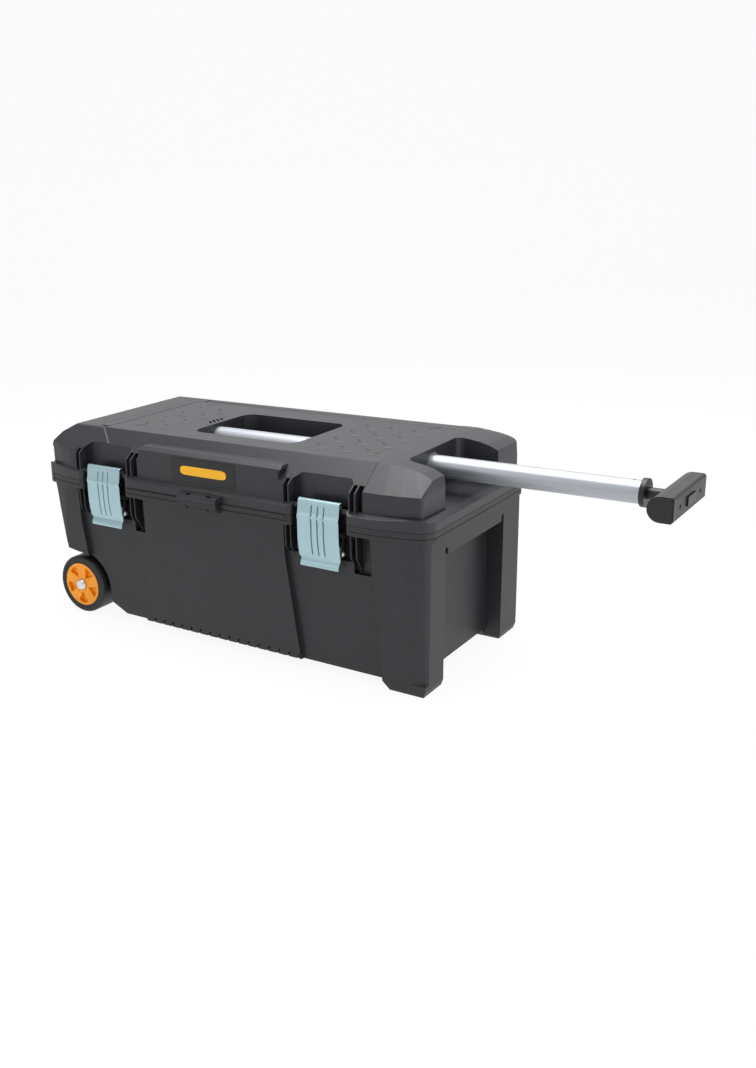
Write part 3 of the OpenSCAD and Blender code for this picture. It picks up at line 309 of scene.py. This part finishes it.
def deck_slot_black_fill():
    """Black boxes that fill the four slanted slots of the deck, each turned about Z, from 3.5 mm below the
    deck's top to 0.3 mm above it, so that the slots show black.
    """
    deck_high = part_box("deck_panel")[1]
    half_l, half_w, top, depth = 9.8 * MM, 2.3 * MM, 0.3 * MM, 3.5 * MM
    box_faces = np.array([(0, 3, 2, 1), (4, 5, 6, 7), (0, 1, 5, 4), (1, 2, 6, 5), (2, 3, 7, 6), (3, 0, 4, 7)])
    points, faces = [], []
    for k, (px, py) in enumerate(SLOT_PLACES):
        for z in (deck_high.z - depth, deck_high.z + top):
            for u, v in ((-half_l, -half_w), (half_l, -half_w), (half_l, half_w), (-half_l, half_w)):
                points.append((px * MM + u * math.cos(SLOT_TURN) - v * math.sin(SLOT_TURN),
                               py * MM + u * math.sin(SLOT_TURN) + v * math.cos(SLOT_TURN), z))
        faces.append(box_faces + 8 * k)
    piece = outward(make_mesh("deck_slot_black_fill", np.array(points), np.concatenate(faces), False))
    return dress(piece, "lid", "black_plastic")


def ribbon(name, line, half_width, height):
    """A low rounded rib along a line of points: across it the height is h (1 - t^4), t from -1 to 1."""
    line = np.array(line, float)
    step = np.gradient(line, axis=0)
    step /= np.linalg.norm(step[:, :2], axis=1)[:, None]
    normal = np.stack([-step[:, 1], step[:, 0], np.zeros(len(line))], -1)
    t = np.linspace(-1, 1, 9)
    points = line[:, None, :] + normal[:, None, :] * (t * half_width)[None, :, None]
    points[..., 2] += (height * (1 - t ** 4))[None, :]
    return make_mesh(name, points.reshape(-1, 3), grid_faces(len(line), len(t)))


def rear_rail():
    """The smooth raised rail along the deck's rear edge, from the left band to the end cap: a rib
    whose left end falls in a quarter cosine."""
    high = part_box("deck_panel")[1]
    left_end, rise_length = -0.250, 22 * MM
    x = np.linspace(left_end, high.x - 1 * MM, 80)
    rise = np.clip((x - left_end) / rise_length, 0, 1)
    z = high.z - 0.1 * MM - 1.4 * MM * np.cos(rise * math.pi / 2)
    y = np.full_like(x, high.y - 7.5 * MM)
    piece = ribbon("deck_rear_rail", np.stack([x, y, z], -1), 6.5 * MM, 1.6 * MM)
    return dress(piece, "lid", "deck_plastic")


def left_band():
    """The raised smooth band at the deck's left end: a rounded strip across the box that curls round
    to the right at the rear along a quarter circle."""
    low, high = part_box("deck_panel")
    bend_r = 22 * MM
    x0 = -0.262
    y1 = high.y - 32 * MM
    straight = [(x0, y) for y in np.linspace(low.y + 6 * MM, y1, 40)]
    arc = [(x0 + bend_r * (1 - math.cos(a)), y1 + bend_r * math.sin(a))
           for a in np.linspace(0, math.pi / 2, 14)[1:]]
    line = [(x, y, high.z - 0.1 * MM) for x, y in straight + arc]
    piece = ribbon("deck_left_band", line, 8 * MM, 1.3 * MM)
    return dress(piece, "lid", "deck_plastic")


# ---------------------------------------------------------------- latches

def latch_plate(side):
    """The pressed latch plate: a section line in (y, z) swept across the box. Three grooves run down
    it, each a dip d exp(-((x - g) / w)^4), and its side edges fold back a little. Solidify gives the
    steel."""
    low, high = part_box(side + "_latch_plate")
    cx = (low.x + high.x) / 2
    half = (high.x - low.x) / 2
    tall = high.z - low.z
    front = low.y + 1.2 * MM
    section_tall = 101 * MM
    # Points of the section: (how far behind the most forward line, height above the lip), in mm
    section = np.array([(11.5, 101), (6.5, 101), (5.4, 99.5), (4.2, 90), (2.6, 80), (0.6, 75.5), (0.8, 74),
                        (2.0, 70), (1.8, 60), (2.0, 45), (3.6, 28), (6.6, 13), (7.0, 11.5), (5.4, 9.5),
                        (3.2, 6), (2.6, 3), (2.6, 0)]) * MM
    section[:, 1] *= tall / section_tall
    s = np.concatenate([[0], np.cumsum(np.linalg.norm(np.diff(section, axis=0), axis=1))])
    t = np.linspace(0, s[-1], 120)
    back = np.interp(t, s, section[:, 0])
    height = np.interp(t, s, section[:, 1])
    kernel = np.ones(5) / 5
    back[2:-2] = np.convolve(back, kernel, "valid")
    height[2:-2] = np.convolve(height, kernel, "valid")
    u = np.linspace(-1, 1, 241)
    x = cx + u * half
    grid_x, grid_back = np.meshgrid(x, back, indexing="xy")
    grid_z = np.broadcast_to(height[:, None], grid_x.shape) + low.z
    waist = np.interp(height / tall, [0, 0.11, 0.13, 1], [0.93, 0.93, 1.0, 1.0])[:, None]
    lip_shift = np.interp(height / tall, [0, 0.11, 0.13, 1], [1.0, 1.0, 0, 0])[:, None] * MM
    grid_x = cx + (grid_x - cx) * waist + lip_shift
    along = height / tall
    # Grooves fade out at both ends and at the crease
    groove_on = (np.clip((along - 0.17) / 0.03, 0, 1) * np.clip((0.93 - along) / 0.03, 0, 1)
                 * np.clip(np.abs(along - 0.735) / 0.02, 0, 1))[:, None]
    dip = sum(np.exp(-((grid_x - cx + offset * MM) / (1.0 * MM)) ** 4) for offset in (11, 0.5, -10))
    edge_fold = 1.2 * MM * np.clip((np.abs(u) - 0.955) / 0.045, 0, 1)[None, :] ** 2
    grid_y = front + grid_back + 3.6 * MM * dip * groove_on + edge_fold
    points = np.stack([grid_x, grid_y, grid_z], -1).reshape(-1, 3)
    piece = make_mesh(side + "_latch_face", points, grid_faces(len(t), len(u)))
    if piece.data.polygons[len(piece.data.polygons) // 2].normal.y > 0:
        piece.data.flip_normals()
    wall = piece.modifiers.new("steel", "SOLIDIFY")
    wall.thickness = 1.4 * MM
    wall.offset = -1
    return dress(piece, side + "_plate", "latch_zinc", side + "_latch_plate")


def prisms(name, outline, spans):
    """Flat plates of one (y, z) outline, each from x0 to x1 of its span, closed with end faces."""
    outline = np.array(outline, float)
    n = len(outline)
    points, faces = [], []
    for k, (x0, x1) in enumerate(spans):
        points += [(x, y, z) for x in (x0, x1) for y, z in outline]
        base = 2 * n * k
        ring = [base + i for i in range(n)]
        faces.append(ring[::-1])
        faces.append([i + n for i in ring])
        faces += [[ring[i], ring[(i + 1) % n], ring[(i + 1) % n] + n, ring[i] + n] for i in range(n)]
    mesh = bpy.data.meshes.new(name)
    mesh.from_pydata(points, [], faces)
    piece = bpy.data.objects.new(name, mesh)
    bpy.context.scene.collection.objects.link(piece)
    return outward(piece)


def latch_ears(side):
    """The two ears of a latch plate: from its back to a round end about the rivet."""
    low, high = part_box(side + "_latch_plate")
    rivet_low, rivet_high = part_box(side + "_latch_rivet")
    y, z = (rivet_low.y + rivet_high.y) / 2, (rivet_low.z + rivet_high.z) / 2
    back = low.y + 7.4 * MM
    bend = np.radians(np.linspace(-60, 60, 9))
    end = [(y + 4.8 * MM * math.cos(a), z + 4.8 * MM * math.sin(a)) for a in bend]
    outline = [(back, z - 9 * MM)] + end + [(back - 3.5 * MM, z + 15 * MM)]
    spans = [(low.x, low.x + 1.4 * MM), (high.x - 1.4 * MM, high.x)]
    piece = prisms(side + "_latch_ears", outline, spans)
    bevel = piece.modifiers.new("edge", "BEVEL")
    bevel.width = 0.3 * MM
    bevel.segments = 2
    return dress(piece, side + "_plate", "latch_zinc")


# ---------------------------------------------------------------- wheels

def tyre(side):
    """The tyre: a turned profile with rounded shoulders and two shallow side steps."""
    low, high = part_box(side + "_tyre")
    centre_x, centre_z = (low.x + high.x) / 2, (low.z + high.z) / 2
    r = (high.x - low.x) / 2
    width = high.y - low.y
    hub_low, hub_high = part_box(side + "_hub")
    hub_r = (hub_high.x - hub_low.x) / 2
    bend = np.radians(np.linspace(0, 90, 7))
    shoulder = 4 * MM
    inner_shoulder = [(r - shoulder + shoulder * math.sin(a), shoulder - shoulder * math.cos(a))
                      for a in bend]
    outer_shoulder = [(r - shoulder + shoulder * math.cos(a), width - shoulder + shoulder * math.sin(a))
                      for a in bend]
    side_step = [(r - 6.5 * MM, width), (r - 7 * MM, width - 0.8 * MM), (r - 9.5 * MM, width - 0.8 * MM),
                 (r - 10 * MM, width - 0.2 * MM), (hub_r, width - 0.2 * MM)]
    profile = [(hub_r, 0), (r - 6 * MM, 0)] + inner_shoulder + outer_shoulder + side_step
    sign = -1 if side == "front" else 1
    start = high.y if side == "front" else low.y
    piece = lathe(side + "_tyre_ring", profile, (centre_x, start, centre_z), sign)
    return dress(piece, side + "_wheel", "tyre", side + "_tyre")


def smooth_by_angle(piece, degrees=35):
    """Keeps sharp edges sharp on a turned piece."""
    piece.data.set_sharp_from_angle(angle=math.radians(degrees))
    return piece


# ---------------------------------------------------------------- badge

def badge_stripe():
    """A plain yellow bar with round ends on the blank badge plate: a super-ellipse outline given a wall."""
    low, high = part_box("badge_plate")
    cx, cz = (low.x + high.x) / 2, (low.z + high.z) / 2
    half_l, half_h, depth = 44 * MM, 7.0 * MM, 0.5 * MM
    a = np.linspace(0, 2 * math.pi, 64, endpoint=False)
    x = cx + half_l * np.sign(np.cos(a)) * np.abs(np.cos(a)) ** 0.18
    z = cz + half_h * np.sign(np.sin(a)) * np.abs(np.sin(a)) ** 0.7
    front, rounding = low.y - depth, 0.15 * MM
    rings = [np.stack([cx + (x - cx) * k, np.full_like(x, y), cz + (z - cz) * k], -1)
             for k, y in ((0, low.y), (1, low.y), (1, front + rounding), (0.99, front), (0, front))]
    points = np.concatenate(rings)
    piece = outward(make_mesh("badge_stripe", points, grid_faces(len(rings), len(a), wrap_cols=True), False))
    piece.data.materials.append(STRIPE)
    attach(piece, "lid")
    return piece


# ---------------------------------------------------------------- stage

def stage():
    """A large pale floor with a curved backdrop, which shows as plain white behind the object."""
    material, tree, shader = new_material("studio_floor", "#f2f2f2", 0.9)
    floor_z = cad_box[0][2]
    run = np.array([(-2.5, 0), (3.0, 0), (4.0, 0.15), (4.7, 0.8), (5.0, 2.0), (5.0, 6.0)])
    across = np.linspace(-6, 6, 3)
    yaw = math.radians(CAMERA_YAW)
    ahead = np.array([-math.sin(yaw), math.cos(yaw)])
    right = np.array([math.cos(yaw), math.sin(yaw)])
    points = np.array([[*(ahead * d + right * s), floor_z + h] for d, h in run for s in across])
    points[:, 2] -= 0.2 * MM
    floor = make_mesh("floor", points, grid_faces(len(run), len(across)))
    output = tree.nodes["Material Output"]
    rays = add_node(tree, "ShaderNodeLightPath")
    glow = add_node(tree, "ShaderNodeEmission", Color=(1, 1, 1, 1), Strength=1.0)
    either = add_node(tree, "ShaderNodeMath", {"operation": "MAXIMUM"}, i0=rays.outputs["Is Camera Ray"],
                      i1=rays.outputs["Is Glossy Ray"])
    lift = add_node(tree, "ShaderNodeMath", {"operation": "MULTIPLY"}, i0=either.outputs[0], i1=0.92)
    mix = add_node(tree, "ShaderNodeMixShader", Fac=lift.outputs[0], i1=shader.outputs[0], i2=glow.outputs[0])
    tree.links.new(mix.outputs[0], output.inputs["Surface"])
    floor.data.materials.append(material)


def area_light(name, place, target, size, power):
    """A square soft box that faces a point."""
    data = bpy.data.lights.new(name, "AREA")
    data.size = size
    data.energy = power
    lamp = bpy.data.objects.new(name, data)
    lamp.location = place
    lamp.rotation_euler = (Vector(target) - Vector(place)).to_track_quat("-Z", "Y").to_euler()
    bpy.context.scene.collection.objects.link(lamp)


def lights():
    """Soft studio light: a broad top light, a weak front fill and one on the handle side."""
    middle = (0.1, 0, 0.2)
    area_light("top_light", (0.0, 0.25, 2.2), middle, 2.0, 72)
    area_light("front_fill", (-0.9, -2.6, 1.3), middle, 1.4, 7)
    area_light("handle_side", (2.6, -0.3, 0.8), middle, 1.6, 22)
    world = bpy.data.worlds.new("studio")
    world.use_nodes = True
    background = world.node_tree.nodes["Background"]
    background.inputs["Color"].default_value = (1, 1, 1, 1)
    background.inputs["Strength"].default_value = 0.48
    tree = world.node_tree
    rays = add_node(tree, "ShaderNodeLightPath")
    white = add_node(tree, "ShaderNodeBackground", Color=(1, 1, 1, 1), Strength=1.0)
    either = add_node(tree, "ShaderNodeMath", {"operation": "MAXIMUM"}, i0=rays.outputs["Is Camera Ray"],
                      i1=rays.outputs["Is Transmission Ray"])
    mix = add_node(tree, "ShaderNodeMixShader", Fac=either.outputs[0], i1=background.outputs[0],
                   i2=white.outputs[0])
    tree.links.new(mix.outputs[0], tree.nodes["World Output"].inputs["Surface"])
    bpy.context.scene.world = world


def camera():
    """The camera stands in front of the handle end, looking left and slightly down."""
    yaw, pitch, roll = (math.radians(a) for a in (CAMERA_YAW, CAMERA_PITCH, CAMERA_ROLL))
    ahead = Vector((-math.sin(yaw) * math.cos(pitch), math.cos(yaw) * math.cos(pitch), -math.sin(pitch)))
    side = Vector((math.cos(yaw), math.sin(yaw), 0))
    up = side.cross(ahead)
    right = math.cos(roll) * side + math.sin(roll) * up
    top = math.cos(roll) * up - math.sin(roll) * side
    data = bpy.data.cameras.new("camera")
    data.lens = 38.11
    data.sensor_width = 36
    data.shift_x = 0.09
    data.shift_y = -0.0078
    data.clip_start = 0.05
    lens = bpy.data.objects.new("camera", data)
    turn = Matrix((right, top, -ahead)).transposed().to_4x4()
    lens.matrix_world = Matrix.Translation(CAMERA_PLACE) @ turn
    bpy.context.scene.collection.objects.link(lens)
    bpy.context.scene.camera = lens


camera()
lights()
stage()
finish_cad_nodes()
deck_tread()
deck_slot_black_fill()
rear_rail()
left_band()
badge_stripe()
for wheel in ("front", "rear"):
    smooth_by_angle(tyre(wheel))
for hand in ("left", "right"):
    latch_plate(hand)
    latch_ears(hand)
bpy.context.scene.view_settings.view_transform = "Standard"
